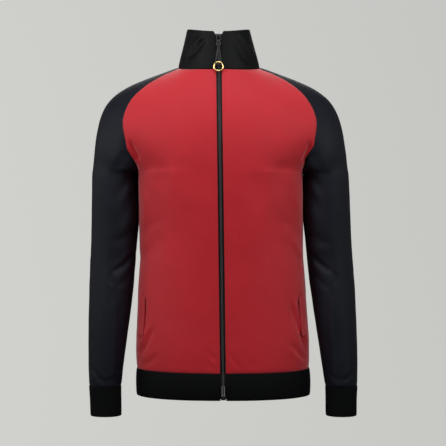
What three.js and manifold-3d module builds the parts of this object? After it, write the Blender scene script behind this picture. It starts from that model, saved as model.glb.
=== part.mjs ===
// A zip-front track jacket with raglan sleeves, a stand collar, a hem band and cuffs, filled out as
// it is when worn, with no wearer. Millimetres. +Z is up, the front faces -Y, and +X is the
// wearer's left. The origin is the middle of the neck opening, level with the neck seam.
//
// The body and the sleeves are one skin. Below the underarm it is three tubes, given by level
// sections. Above it, rows run from the zip to the front raglan seam, over the sleeve head to the
// back raglan seam, and on to the centre back. Every row is a chain of cubic arcs.
import * as THREE from 'three';
import Module from 'manifold-3d';

const wasm = await Module();
wasm.setup();

// Driving sizes
const HEM_SEAM_Z = -598;
const HEM_EDGE_Z = -648;
const UNDERARM_Z = -214;
const SLEEVE_END_Z = -632;
const CUFF_EDGE_Z = -688;
const CLOTH = 2.0;
const DOUBLE_CLOTH = 2.4;
const SEAM_GAP = 0.3;
const UNDERARM_GAP = 1.4;
const ZIP_OPENING_HALF = 5.6;
const WELT_THICKNESS = 1.2;
const TAPE_THICKNESS = 1.0;
const TAPE_INNER_EDGE = 2.5;
const CHAIN_HALF = 2.2;
const CHAIN_THICKNESS = 2.4;
const CHAIN_SUNK = 1.3;
const HINGE_Z = 54;
const PULL_SLOPE = 0.19;
// The jacket hangs a little off plumb: its centre line moves this far to +X for each mm down
const LEAN = 0.0134;

// Grid lines of the body: heights below the underarm, and shares of the way from the centre to the
// side seam. Each pocket welt runs from one of the named heights and shares to another.
const WELT_SPAN = { bottom: -531, top: -455, inner: 0.69, outer: 0.8 };
const BODY_HEIGHTS = [
  -598, -570, WELT_SPAN.bottom, -493, WELT_SPAN.top, -415, -375, -335, -295, -255, -214,
];
const TAPE_SHARE = 0.028;
const BODY_SHARES = [0, TAPE_SHARE, 0.14, 0.26, 0.37, 0.48, 0.59, WELT_SPAN.inner, WELT_SPAN.outer, 0.9, 1];

// Grid lines of the hem band and the collar: shares of the height, and of the way from the zip to
// the centre back
const BAND_UPS = [0, 0.34, 0.67, 1];
const BAND_SHARES = [
  0, TAPE_SHARE / 2, 0.07, 0.13, 0.19, 0.25, 0.31, 0.37, 0.43, 0.5, 0.57, 0.63, 0.69, 0.76, 0.84, 0.92, 1,
];
const COLLAR_UPS = [0, 0.25, 0.5, 0.72, 0.9, 1];
const COLLAR_SHARES = [
  0, 0.035, 0.1, 0.16, 0.22, 0.28, 0.34, 0.4, 0.46, 0.52, 0.58, 0.65, 0.72, 0.79, 0.86, 0.93, 1,
];

// Grid counts
const YOKE_ROWS = 11;
const SLEEVE_ROWS = 12;
const SLEEVE_COLUMNS = 16;
const CUFF_ROWS = 3;

// Level sections of the body, from the hem seam up to the underarm. half is the half width at the
// side seam, side the depth of that seam, and start and end are how full the arcs are there.
const BODY = [
  { z: -598, half: 171.5, side: -2, start: 1.22, end: 0.9 },
  { z: -575, half: 173.2, side: -2, start: 1.24, end: 0.9 },
  { z: -540, half: 172.4, side: -2, start: 1.24, end: 0.9 },
  { z: -490, half: 169.8, side: -2, start: 1.24, end: 0.9 },
  { z: -440, half: 167.2, side: -2, start: 1.24, end: 0.9 },
  { z: -390, half: 164.8, side: -1, start: 1.24, end: 0.88 },
  { z: -330, half: 164.2, side: 0, start: 1.24, end: 0.88 },
  { z: -270, half: 164.5, side: 0, start: 1.24, end: 0.98 },
  { z: -214, half: 164.8, side: 0, start: 1.46, end: 1.02 },
];

// Depth of the centre front and the centre back at each height
const CENTRE_LINES = [
  { z: -648, front: -111, back: 105 },
  { z: -622, front: -115, back: 109 },
  { z: -598, front: -111, back: 105 },
  { z: -560, front: -113, back: 106 },
  { z: -500, front: -110, back: 101 },
  { z: -430, front: -109, back: 94 },
  { z: -360, front: -111, back: 92 },
  { z: -290, front: -116, back: 100 },
  { z: -220, front: -121, back: 112 },
  { z: -165, front: -121, back: 117 },
  { z: -115, front: -115, back: 113 },
  { z: -70, front: -102, back: 101 },
  { z: -35, front: -87, back: 86 },
  { z: -11.5, front: -76, back: 76 },
  { z: 6, front: -72, back: 66 },
];

// The front raglan seam, from the underarm to the neck. body and sleeve are the plan headings of
// the two pieces as they leave the seam outwards, in degrees from +X towards the back, rise is the
// slope of both, start and end are how full the body's arc is, and cap how full the sleeve's is.
const FRONT_SEAM = [
  { x: 164.8, y: 0, z: -214, centre: -214, body: 90, sleeve: -90, rise: 0, start: 1.46, end: 1.02, cap: 1.27 },
  { x: 163.0, y: -27, z: -212, centre: -209, body: 82, sleeve: -80, rise: 0, start: 1.42, end: 0.88, cap: 1.02 },
  { x: 162.0, y: -46, z: -204, centre: -201, body: 66, sleeve: -58, rise: 0, start: 1.36, end: 0.84, cap: 0.92 },
  { x: 169.5, y: -61, z: -187, centre: -188, body: 50, sleeve: -26, rise: 0, start: 1.26, end: 0.82, cap: 1.0 },
  { x: 179.5, y: -68, z: -165, centre: -168, body: 40, sleeve: -2, rise: 0, start: 1.14, end: 0.9, cap: 1.06 },
  { x: 186.0, y: -70, z: -141, centre: -145, body: 34, sleeve: 18, rise: 2, start: 1.1, end: 0.94, cap: 1.04 },
  { x: 189.0, y: -66, z: -113, centre: -120, body: 32, sleeve: 32, rise: 5, start: 1.08, end: 0.95, cap: 1.0 },
  { x: 183.0, y: -60, z: -88, centre: -96, body: 35, sleeve: 35, rise: 9, start: 1.06, end: 0.95, cap: 1.0 },
  { x: 166.0, y: -51, z: -59, centre: -72, body: 42, sleeve: 42, rise: 14, start: 1.05, end: 0.95, cap: 1.0 },
  { x: 138.0, y: -38, z: -34, centre: -49, body: 54, sleeve: 54, rise: 19, start: 1.05, end: 0.95, cap: 1.0 },
  { x: 108.0, y: -27, z: -16, centre: -29, body: 67, sleeve: 67, rise: 19, start: 1.05, end: 0.95, cap: 1.0 },
  { x: 79.6, y: -18, z: -3, centre: -11.5, body: 79, sleeve: 79, rise: 12, start: 1.05, end: 0.95, cap: 1.0 },
];

// The back raglan seam in the same rows. Headings turn from +X towards the front.
const BACK_SEAM = [
  { x: 164.8, y: 0, z: -214, centre: -214, body: 90, sleeve: -90, rise: 0, start: 1.46, end: 1.02, cap: 1.26 },
  { x: 163.4, y: 28, z: -211, centre: -208, body: 82, sleeve: -80, rise: 0, start: 1.42, end: 0.88, cap: 1.03 },
  { x: 163.5, y: 48, z: -202, centre: -198, body: 66, sleeve: -58, rise: 0, start: 1.36, end: 0.84, cap: 0.94 },
  { x: 168.0, y: 63, z: -184, centre: -183, body: 50, sleeve: -26, rise: 0, start: 1.26, end: 0.82, cap: 1.06 },
  { x: 174.5, y: 71.5, z: -161, centre: -161, body: 40, sleeve: -2, rise: 0, start: 1.14, end: 0.9, cap: 1.08 },
  { x: 178.0, y: 75, z: -134, centre: -136, body: 34, sleeve: 18, rise: 2, start: 1.1, end: 0.94, cap: 1.04 },
  { x: 177.5, y: 74, z: -107, centre: -110, body: 32, sleeve: 32, rise: 5, start: 1.08, end: 0.95, cap: 1.0 },
  { x: 169.0, y: 69, z: -81, centre: -84, body: 35, sleeve: 35, rise: 9, start: 1.06, end: 0.95, cap: 1.0 },
  { x: 151.0, y: 61, z: -56, centre: -59, body: 41, sleeve: 41, rise: 14, start: 1.05, end: 0.95, cap: 1.0 },
  { x: 125.0, y: 51, z: -32, centre: -36, body: 50, sleeve: 50, rise: 17, start: 1.05, end: 0.95, cap: 1.0 },
  { x: 97.0, y: 41, z: -13, centre: -14, body: 58, sleeve: 58, rise: 14, start: 1.05, end: 0.95, cap: 1.0 },
  { x: 70.0, y: 32, z: 4, centre: 6, body: 64, sleeve: 64, rise: 4, start: 1.05, end: 0.95, cap: 1.0 },
];

// The outer edge of the sleeve head and the shoulder ridge, in the same rows as the raglan seams
const SHOULDER = [
  { x: 258.3, y: 2, z: -214 },
  { x: 257.0, y: 2, z: -206 },
  { x: 255.0, y: 2, z: -193 },
  { x: 252.5, y: 2, z: -170 },
  { x: 248.5, y: 2, z: -141 },
  { x: 242.5, y: 2, z: -111 },
  { x: 233.5, y: 3, z: -85 },
  { x: 217.0, y: 4, z: -60 },
  { x: 187.0, y: 5, z: -39 },
  { x: 151.0, y: 5, z: -24 },
  { x: 114.0, y: 5, z: -11 },
  { x: 81.0, y: 4, z: 1.5 },
];

// Level sections of the sleeve below the underarm. inner and outer are its edges in front view,
// middle is the depth of both, and front and back are how far the tube reaches from there.
const SLEEVE = [
  { z: -634, inner: 203.2, outer: 265.4, middle: -17, front: 35, back: 35 },
  { z: -625, inner: 200.0, outer: 268.2, middle: -17, front: 38.5, back: 38.5 },
  { z: -589, inner: 195.4, outer: 268.6, middle: -14, front: 41, back: 41 },
  { z: -553, inner: 190.8, outer: 268.4, middle: -11, front: 43, back: 43 },
  { z: -504, inner: 184.2, outer: 267.6, middle: -6, front: 46, back: 46 },
  { z: -438, inner: 175.4, outer: 266.2, middle: 1, front: 50, back: 51 },
  { z: -385, inner: 171.0, outer: 264.4, middle: 5, front: 53, back: 56 },
  { z: -350, inner: 167.9, outer: 262.0, middle: 6, front: 55, back: 56 },
  { z: -300, inner: 166.2, outer: 260.5, middle: 5, front: 57, back: 57 },
  { z: -250, inner: 166.2, outer: 259.3, middle: 3, front: 58, back: 59 },
  { z: -214, inner: 166.2, outer: 258.3, middle: 2, front: 58.5, back: 60 },
];

// Level sections of the hem band
const HEM_BAND = [
  { z: -648, half: 173.0, side: -2, start: 1.22, end: 0.9 },
  { z: -630, half: 175.4, side: -2, start: 1.22, end: 0.9 },
  { z: -612, half: 175.2, side: -2, start: 1.22, end: 0.9 },
  { z: -598, half: 172.4, side: -2, start: 1.22, end: 0.9 },
];

// Level sections of the cuffs, with the columns of the sleeve
const CUFF = [
  { z: -688, inner: 203.6, outer: 262.6, middle: -20, front: 29, back: 29 },
  { z: -670, inner: 203.0, outer: 263.8, middle: -19, front: 30.5, back: 30.5 },
  { z: -650, inner: 203.4, outer: 264.4, middle: -18, front: 32, back: 32 },
  { z: -632, inner: 204.0, outer: 265.2, middle: -17, front: 33.5, back: 33.5 },
];

// The top edge of the collar at the centre front, the side and the centre back
const COLLAR_TOP = {
  front: { x: ZIP_OPENING_HALF, y: -66, z: 64 },
  side: { x: 62.7, y: -8, z: 74 },
  back: { x: 0, y: 51, z: 76 },
};
// Where the two ends of the collar part above the zip, and how far
const COLLAR_PARTS_FROM = 0.86;
const COLLAR_PARTS_BY = 4.5;

// The largest folds as seen from the front, or from the back where back is true. Each is a soft
// trough (or a ridge, where deep is negative) from one point to another, fading out at its ends.
const FOLDS = [
  // the elbow
  { on: 'sleeve', back: false, x0: 170, z0: -366, x1: 222, z1: -404, wide: 9, deep: 5.5 },
  { on: 'sleeve', back: false, x0: 176, z0: -395, x1: 216, z1: -432, wide: 10, deep: -2.5 },
  { on: 'sleeve', back: false, x0: 221, z0: -408, x1: 214, z1: -560, wide: 14, deep: -2 },
  { on: 'sleeve', back: true, x0: 262, z0: -372, x1: 205, z1: -398, wide: 12, deep: 3 },
  // the underarm
  { on: 'sleeve', back: false, x0: 170, z0: -206, x1: 200, z1: -250, wide: 10, deep: 3 },
  { on: 'sleeve', back: true, x0: 172, z0: -206, x1: 202, z1: -256, wide: 11, deep: 3 },
  { on: 'body', back: false, x0: 168, z0: -190, x1: 158, z1: -150, wide: 8, deep: 3 },
  { on: 'body', back: true, x0: 160, z0: -200, x1: 120, z1: -240, wide: 14, deep: 4 },
  // the drag lines below the pockets and from the waist
  { on: 'body', back: false, x0: 136, z0: -500, x1: 166, z1: -566, wide: 9, deep: -2.5 },
  { on: 'body', back: false, x0: 148, z0: -545, x1: 168, z1: -584, wide: 8, deep: 2.5 },
  { on: 'body', back: false, x0: 128, z0: -330, x1: 164, z1: -392, wide: 12, deep: 2.2 },
  { on: 'body', back: true, x0: 30, z0: -560, x1: 160, z1: -470, wide: 20, deep: 3.5 },
  { on: 'body', back: true, x0: 40, z0: -330, x1: 160, z1: -290, wide: 20, deep: 3 },
  // the collar, which buckles a little on each side of the neck
  { on: 'collar', back: false, x0: 52, z0: 56, x1: 79, z1: 5, wide: 5, deep: -1.6 },
  { on: 'collar', back: false, x0: 44, z0: 50, x1: 70, z1: 4, wide: 6, deep: 1.6 },
];

// A cubic through the values of one column, at a place given by another
function along(table, place, column, at) {
  let i = 0;
  while (i < table.length - 2 && at > table[i + 1][place]) i += 1;
  const slope = (k) => {
    const a = table[Math.max(k - 1, 0)];
    const b = table[Math.min(k + 1, table.length - 1)];
    return (b[column] - a[column]) / (b[place] - a[place]);
  };
  const [p, q] = [table[i], table[i + 1]];
  const span = q[place] - p[place];
  const t = (at - p[place]) / span;
  const u = 1 - t;
  return (
    u * u * (1 + 2 * t) * p[column] + t * t * (3 - 2 * t) * q[column] +
    span * t * u * (u * slope(i) - t * slope(i + 1))
  );
}

// Every column of a table of rows, at a share of the way from its first row to its last
function rowAt(table, share) {
  const numbered = table.map((row, k) => ({ ...row, share: k / (table.length - 1) }));
  const found = {};
  for (const column of Object.keys(table[0])) found[column] = along(numbered, 'share', column, share);
  return found;
}

const vector = (x, y, z) => new THREE.Vector3(x, y, z);

function heading(degrees, rise, towards) {
  const [a, r] = [degrees, rise].map(THREE.MathUtils.degToRad);
  return vector(Math.cos(a) * Math.cos(r), towards * Math.sin(a) * Math.cos(r), Math.sin(r));
}

// A cubic arc from p, leaving along u, to q, arriving along w. A fullness of 1 is a round arc.
function arc(p, u, q, w, startFullness, endFullness, t) {
  const turn = Math.acos(THREE.MathUtils.clamp(u.dot(w), -1, 1));
  const handle = p.distanceTo(q) / (3 * Math.cos(turn / 4) ** 2);
  const a = p.clone().addScaledVector(u, handle * startFullness);
  const b = q.clone().addScaledVector(w, -handle * endFullness);
  const s = 1 - t;
  return vector(0, 0, 0)
    .addScaledVector(p, s * s * s)
    .addScaledVector(a, 3 * s * s * t)
    .addScaledVector(b, 3 * s * t * t)
    .addScaledVector(q, t * t * t);
}

const centreDepth = (z, back) => along(CENTRE_LINES, 'z', back ? 'back' : 'front', z);
const OUTWARDS = vector(1, 0, 0);
const BACKWARDS = vector(0, 1, 0);

// A point of the front or back panel's left half. up runs 0 to 1 from the hem seam to the underarm
// and 1 to 2 from there to the neck, and across runs 0 to 1 from the centre to the side.
function bodyPoint(up, across, back) {
  const towards = back ? -1 : 1;
  const inset = back ? 0 : ZIP_OPENING_HALF;
  if (up <= 1) {
    const z = THREE.MathUtils.lerp(HEM_SEAM_Z, UNDERARM_Z, up);
    const [half, side, start, end] = ['half', 'side', 'start', 'end'].map((c) => along(BODY, 'z', c, z));
    const centre = vector(inset, centreDepth(z, back), z);
    const edge = vector(half, side - (towards * SEAM_GAP) / 2, z);
    return arc(centre, OUTWARDS, edge, vector(0, towards, 0), start, end, across);
  }
  const row = rowAt(back ? BACK_SEAM : FRONT_SEAM, up - 1);
  const centre = vector(inset, centreDepth(row.centre, back), row.centre);
  const leaving = heading(row.body, row.rise, towards);
  const edge = vector(row.x, row.y, row.z).addScaledVector(leaving, -SEAM_GAP / 2);
  return arc(centre, OUTWARDS, edge, leaving, row.start, row.end, across);
}

// A point of the left sleeve. up runs 0 to 1 from the cuff seam to the underarm and 1 to 2 from
// there to the neck. around runs 0 to 1 from the underarm or front raglan seam, over the front of
// the arm and its outer edge, to the back.
function sleevePoint(up, around) {
  const back = around > 0.5;
  const towards = back ? -1 : 1;
  const t = back ? 2 - 2 * around : 2 * around;
  if (up <= 1) {
    const z = THREE.MathUtils.lerp(SLEEVE_END_Z, UNDERARM_Z, up);
    const [inner, outer, middle, reach] = ['inner', 'outer', 'middle', back ? 'back' : 'front']
      .map((c) => along(SLEEVE, 'z', c, z));
    const fullness = (2 * reach) / (outer - inner);
    return arc(
      vector(inner, middle, z), vector(0, -towards, 0), vector(outer, middle, z), vector(0, towards, 0),
      fullness, fullness, t,
    );
  }
  const row = rowAt(back ? BACK_SEAM : FRONT_SEAM, up - 1);
  const ridge = rowAt(SHOULDER, up - 1);
  const leaving = heading(row.sleeve, row.rise, towards);
  const nearUnderarm = Math.max(0, 1 - (up - 1) / 0.22);
  const edge = vector(row.x + UNDERARM_GAP * nearUnderarm, row.y + 2 * nearUnderarm ** 3, row.z)
    .addScaledVector(leaving, SEAM_GAP / 2);
  const top = vector(ridge.x, ridge.y, ridge.z);
  return arc(edge, leaving, top, vector(0, towards, 0), row.cap, row.cap, t);
}

// How far the folds push a point in, seen from the front or the back
function foldDepth(piece, point) {
  let depth = 0;
  for (const fold of FOLDS) {
    if (fold.on !== piece || fold.back !== point.y > 0) continue;
    const [dx, dz] = [fold.x1 - fold.x0, fold.z1 - fold.z0];
    const length = Math.hypot(dx, dz);
    const [px, pz] = [Math.abs(point.x) - fold.x0, point.z - fold.z0];
    const share = (px * dx + pz * dz) / length ** 2;
    const off = (px * dz - pz * dx) / length;
    const fade = Math.exp(-((Math.max(0, Math.abs(share - 0.5) - 0.3) * 5) ** 2));
    depth += fold.deep * fade * Math.exp(-((off / fold.wide) ** 2));
  }
  return depth;
}

// The outward normal of a surface given by a function of two shares, found by small steps
function normalOf(surface, u, v, uEnd, vEnd, turned) {
  const step = 1e-3;
  const [u0, u1] = [Math.max(u - step, 0), Math.min(u + step, uEnd)];
  const [v0, v1] = [Math.max(v - step, 0), Math.min(v + step, vEnd)];
  const du = surface(u1, v).sub(surface(u0, v));
  const dv = surface(u, v1).sub(surface(u, v0));
  return dv.cross(du).normalize().multiplyScalar(turned ? -1 : 1);
}

function folded(piece, surface, uEnd, vEnd, turned) {
  return (u, v) => {
    const point = surface(u, v);
    const depth = foldDepth(piece, point);
    return point.addScaledVector(normalOf(surface, u, v, uEnd, vEnd, turned), -depth);
  };
}

// A wall between two grids of points. joined(i) says that row i closes on itself. A mirrored wall
// is the same one on the wearer's right.
function wall(outer, inner, { turned = false, mirrored = false, joined = () => false } = {}) {
  const [rows, columns] = [outer.length - 1, outer[0].length - 1];
  const corners = [];
  const put = (a, b, c, d) => {
    const quad = turned !== mirrored ? [a, d, c, b] : [a, b, c, d];
    for (const k of [0, 1, 2, 0, 2, 3]) corners.push(mirrored ? -quad[k].x : quad[k].x, quad[k].y, quad[k].z);
  };
  for (let i = 0; i < rows; i += 1) {
    for (let j = 0; j < columns; j += 1) {
      put(outer[i][j], outer[i][j + 1], outer[i + 1][j + 1], outer[i + 1][j]);
      put(inner[i][j], inner[i + 1][j], inner[i + 1][j + 1], inner[i][j + 1]);
    }
    if (joined(i) && joined(i + 1)) continue;
    put(outer[i][0], outer[i + 1][0], inner[i + 1][0], inner[i][0]);
    put(outer[i][columns], inner[i][columns], inner[i + 1][columns], outer[i + 1][columns]);
  }
  for (let j = 0; j < columns; j += 1) {
    put(outer[0][j], inner[0][j], inner[0][j + 1], outer[0][j + 1]);
    put(outer[rows][j], outer[rows][j + 1], inner[rows][j + 1], inner[rows][j]);
  }
  const geometry = new THREE.BufferGeometry();
  geometry.setAttribute('position', new THREE.Float32BufferAttribute(corners, 3));
  return geometry;
}

// Both grids of a wall: points of a surface, moved out by lift, and the same moved in by the wall
function gridsOf(surface, us, vs, uEnd, vEnd, turned, thick, lift = 0) {
  const outer = us.map((u) => vs.map((v) => surface(u, v)));
  const normals = us.map((u) => vs.map((v) => normalOf(surface, u, v, uEnd, vEnd, turned)));
  const moved = (by) => outer.map((row, i) => row.map((p, j) => p.clone().addScaledVector(normals[i][j], by)));
  return [moved(lift), moved(lift - thick)];
}

const shares = (count, from = 0, to = 1) =>
  Array.from({ length: count + 1 }, (_, k) => THREE.MathUtils.lerp(from, to, k / count));

// A point of a level section given by a table with the columns of the body, such as the hem band
function bandPoint(up, around) {
  const z = THREE.MathUtils.lerp(HEM_EDGE_Z, HEM_SEAM_Z, up);
  const [half, side, start, end] = ['half', 'side', 'start', 'end'].map((c) => along(HEM_BAND, 'z', c, z));
  const back = around > 0.5;
  const towards = back ? -1 : 1;
  const centre = vector(back ? 0 : ZIP_OPENING_HALF, centreDepth(z, back), z);
  const t = back ? 2 - 2 * around : 2 * around;
  return arc(centre, OUTWARDS, vector(half, side, z), vector(0, towards, 0), start, end, t);
}

// A point of a closed level section with the columns of the sleeve
function tubePoint(table, z, around) {
  const back = around > 0.5;
  const towards = back ? -1 : 1;
  const [inner, outer, middle, reach] = ['inner', 'outer', 'middle', back ? 'back' : 'front']
    .map((c) => along(table, 'z', c, z));
  const fullness = (2 * reach) / (outer - inner);
  const [from, to] = [vector(inner, middle, z), vector(outer, middle, z)];
  const t = back ? 2 - 2 * around : 2 * around;
  return arc(from, vector(0, -towards, 0), to, vector(0, towards, 0), fullness, fullness, t);
}

// The neck edge of the left half, as points evenly spaced from the zip to the centre back
const NECK_EDGE = (() => {
  const edge = new THREE.CatmullRomCurve3([
    ...shares(12).map((t) => bodyPoint(2, t, false)),
    ...shares(8).slice(1, -1).map((t) => sleevePoint(2, t)),
    ...shares(12).map((t) => bodyPoint(2, 1 - t, true)),
  ]);
  edge.arcLengthDivisions = 400;
  return edge;
})();

// A point of the collar's left half. up runs 0 to 1 from the neck seam to the top edge, and around
// runs 0 to 1 from the zip to the centre back.
function collarPoint(up, around) {
  const base = NECK_EDGE.getPointAt(THREE.MathUtils.clamp(around, 0, 1));
  base.z += SEAM_GAP * 1.5;
  const [front, side, back] = [COLLAR_TOP.front, COLLAR_TOP.side, COLLAR_TOP.back]
    .map((p) => vector(p.x, p.y, p.z));
  const top = around < 0.5
    ? arc(front, OUTWARDS, side, BACKWARDS, 1.12, 0.95, 2 * around)
    : arc(side, BACKWARDS, back, vector(-1, 0, 0), 0.95, 1.08, 2 * around - 1);
  const parting = Math.max(0, (up - COLLAR_PARTS_FROM) / (1 - COLLAR_PARTS_FROM)) ** 2;
  const nearZip = Math.max(0, 1 - around / 0.2) ** 2;
  const point = base.lerp(top, up);
  point.x += COLLAR_PARTS_BY * parting * nearZip;
  return point;
}

const FABRIC_RED = new THREE.MeshStandardMaterial({ color: 0xa8232c, roughness: 0.78, metalness: 0 });
const FABRIC_NAVY = new THREE.MeshStandardMaterial({ color: 0x161a26, roughness: 0.7, metalness: 0 });
const FABRIC_BLACK = new THREE.MeshStandardMaterial({ color: 0x0e0f11, roughness: 0.85, metalness: 0 });
const TAPE_BLACK = new THREE.MeshStandardMaterial({ color: 0x111113, roughness: 0.8, metalness: 0 });
const COIL_BLACK = new THREE.MeshStandardMaterial({ color: 0x2c2d30, roughness: 0.35, metalness: 0 });
const METAL_BLACK = new THREE.MeshStandardMaterial({ color: 0x2a2b2e, roughness: 0.4, metalness: 0.8 });
const METAL_GOLD = new THREE.MeshStandardMaterial({ color: 0xe8c66a, roughness: 0.28, metalness: 1 });

const jacket = new THREE.Group();
const LEANING = new THREE.Matrix4().set(1, 0, -LEAN, 0, 0, 1, 0, 0, 0, 0, 1, 0, 0, 0, 0, 1);

function add(name, geometry, material) {
  const mesh = new THREE.Mesh(geometry, material);
  mesh.name = name;
  jacket.add(mesh);
}

const addCloth = (name, geometry, material) => add(name, geometry.applyMatrix4(LEANING), material);
const SIDES = [{ side: 'left', mirrored: false }, { side: 'right', mirrored: true }];
const flip = (p) => vector(-p.x, p.y, p.z);

// Fronts: one panel on each side of the zip
const frontSurface = folded('body', (up, across) => bodyPoint(up, across, false), 2, 1, false);
const upOf = (z) => (z - HEM_SEAM_Z) / (UNDERARM_Z - HEM_SEAM_Z);
const bodyUps = [...BODY_HEIGHTS.map(upOf), ...shares(YOKE_ROWS, 1, 2).slice(1)];
bodyUps[0] = upOf(HEM_SEAM_Z + SEAM_GAP / 2);
for (const { side, mirrored } of SIDES) {
  const [outer, inner] = gridsOf(frontSurface, bodyUps, BODY_SHARES, 2, 1, false, CLOTH);
  addCloth(`front_${side}`, wall(outer, inner, { mirrored }), FABRIC_RED);
}

// Back: one panel, whose two halves meet at the centre back
const backSurface = folded('body', (up, across) => bodyPoint(up, across, true), 2, 1, true);
{
  const halves = gridsOf(backSurface, bodyUps, BODY_SHARES, 2, 1, true, CLOTH);
  const [outer, inner] = halves.map((grid) => grid.map((row) => [...row.slice(1).reverse().map(flip), ...row]));
  addCloth('back', wall(outer, inner, { turned: true }), FABRIC_RED);
}

// Sleeves: a tube below the underarm, and above it a head that ends at the two raglan seams
const sleeveSurface = folded('sleeve', sleevePoint, 2, 1, false);
function closeRows(grid, isClosed) {
  grid.forEach((row, i) => {
    if (isClosed(i)) row[row.length - 1] = row[0];
  });
}
for (const { side, mirrored } of SIDES) {
  const ups = [...shares(SLEEVE_ROWS, 0, 1), ...shares(YOKE_ROWS, 1, 2).slice(1)];
  ups[0] = SEAM_GAP / 2 / (UNDERARM_Z - SLEEVE_END_Z);
  const [outer, inner] = gridsOf(sleeveSurface, ups, shares(SLEEVE_COLUMNS), 2, 1, false, CLOTH);
  const joined = (i) => i <= SLEEVE_ROWS;
  closeRows(outer, joined);
  closeRows(inner, joined);
  addCloth(`sleeve_${side}`, wall(outer, inner, { mirrored, joined }), FABRIC_NAVY);
}

// Cuffs
for (const { side, mirrored } of SIDES) {
  const surface = (up, around) => tubePoint(CUFF, THREE.MathUtils.lerp(CUFF_EDGE_Z, SLEEVE_END_Z, up), around);
  const ups = shares(CUFF_ROWS, 0, 1 - SEAM_GAP / 2 / (SLEEVE_END_Z - CUFF_EDGE_Z));
  const [outer, inner] = gridsOf(surface, ups, shares(SLEEVE_COLUMNS), 1, 1, false, DOUBLE_CLOTH);
  closeRows(outer, () => true);
  closeRows(inner, () => true);
  addCloth(`cuff_${side}`, wall(outer, inner, { mirrored, joined: () => true }), FABRIC_BLACK);
}

// A wall that runs all round from one side of the zip to the other, from its left half's surface
function openRing(surface, ups, columns) {
  const halves = gridsOf(surface, ups, columns, 1, 1, false, DOUBLE_CLOTH);
  const whole = (row) => [...row, ...row.slice(0, -1).reverse().map(flip)];
  const [outer, inner] = halves.map((grid) => grid.map(whole));
  return wall(outer, inner);
}

// Hem band
const bandUps = [...BAND_UPS.slice(0, -1), 1 - SEAM_GAP / 2 / (HEM_SEAM_Z - HEM_EDGE_Z)];
addCloth('hem_band', openRing(bandPoint, bandUps, BAND_SHARES), FABRIC_BLACK);

// Collar
const collarSurface = folded('collar', collarPoint, 1, 1, false);
addCloth('collar', openRing(collarSurface, COLLAR_UPS, COLLAR_SHARES), FABRIC_BLACK);

// The rows of the three pieces that the zip crosses, at their edges and one grid line out, sunk
// below the outer faces of those pieces
function zipGrids(sunk, thick) {
  const pieces = [
    { surface: bandPoint, ups: [0.012, ...bandUps.slice(1)], end: 1, share: BAND_SHARES[1] },
    { surface: frontSurface, ups: bodyUps, end: 2, share: BODY_SHARES[1] },
    { surface: collarSurface, ups: COLLAR_UPS.slice(0, -1), end: 1, share: COLLAR_SHARES[1] },
  ];
  const grids = pieces.map(({ surface, ups, end, share }) =>
    gridsOf(surface, ups, [0, share], end, 1, false, thick, -sunk));
  return [0, 1].map((k) => grids.flatMap((pair) => pair[k]));
}

// Zip tapes, lying against the backs of the front edges
for (const { side, mirrored } of SIDES) {
  const [outer, inner] = zipGrids(DOUBLE_CLOTH + SEAM_GAP, TAPE_THICKNESS)
    .map((grid) => grid.map((row) => [row[0].clone().setX(TAPE_INNER_EDGE), ...row]));
  addCloth(`zip_tape_${side}`, wall(outer, inner, { mirrored }), TAPE_BLACK);
}

// Zip chain, between the tapes, from the box at the hem to the slider
{
  const [outer, inner] = zipGrids(CHAIN_SUNK, CHAIN_THICKNESS).map((grid, k) => {
    const line = grid.map((row) => row[0]);
    line[0] = line[0].clone().setZ(HEM_EDGE_Z + 7.6);
    line[line.length - 1] = vector(0, frontLine(HINGE_Z - 1) + CHAIN_SUNK + k * CHAIN_THICKNESS, HINGE_Z - 1);
    return line.map((p) => [p.clone().setX(-CHAIN_HALF), p.clone().setX(CHAIN_HALF)]);
  });
  addCloth('zip_chain', wall(outer, inner), COIL_BLACK);
}

// The depth of the collar's front edge at a height
function frontLine(z) {
  const share = (z - collarPoint(0, 0).z) / (COLLAR_TOP.front.z - collarPoint(0, 0).z);
  return THREE.MathUtils.lerp(collarPoint(0, 0).y, COLLAR_TOP.front.y, share);
}

const solidOf = (geometry) => {
  const g = geometry.index ? geometry.toNonIndexed() : geometry;
  const mesh = new wasm.Mesh({
    numProp: 3,
    vertProperties: new Float32Array(g.getAttribute('position').array),
    triVerts: Uint32Array.from({ length: g.getAttribute('position').count }, (_, k) => k),
  });
  mesh.merge();
  return new wasm.Manifold(mesh);
};

function geometryOf(solid) {
  const mesh = solid.getMesh();
  const geometry = new THREE.BufferGeometry();
  geometry.setAttribute('position', new THREE.BufferAttribute(new Float32Array(mesh.vertProperties), 3));
  geometry.setIndex(new THREE.BufferAttribute(new Uint32Array(mesh.triVerts), 1));
  return geometry;
}

// A box given by its low and high corners
function block(low, high) {
  const size = high.map((v, k) => v - low[k]);
  const box = new THREE.BoxGeometry(...size);
  return solidOf(box.translate(...low.map((v, k) => v + size[k] / 2)));
}

// A flat plate: an outline in X and Z, from one depth to another
function plate(outline, holes, nearY, farY) {
  const shape = new THREE.Shape(outline.map(([x, z]) => new THREE.Vector2(x, z)));
  shape.holes = holes.map((hole) => new THREE.Path(hole.map(([x, z]) => new THREE.Vector2(x, z))));
  const geometry = new THREE.ExtrudeGeometry(shape, { depth: farY - nearY, bevelEnabled: false });
  return solidOf(geometry.rotateX(Math.PI / 2).translate(0, farY, 0));
}

// Box at the foot of the zip: a plate in front of the tapes and a stem between them
{
  const z = HEM_EDGE_Z - 0.6;
  const y = centreDepth(z + 7.8, false);
  const front = block([-4.6, y + 0.4, z], [4.6, y + 1.9, z + 7.8]);
  const stem = block([-CHAIN_HALF, y + 1.5, z], [CHAIN_HALF, y + 5.6, z + 7.8]);
  const x = -LEAN * z;
  add('zip_box', geometryOf(front.add(stem)).translate(x, 0, 0), METAL_BLACK);
}

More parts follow.
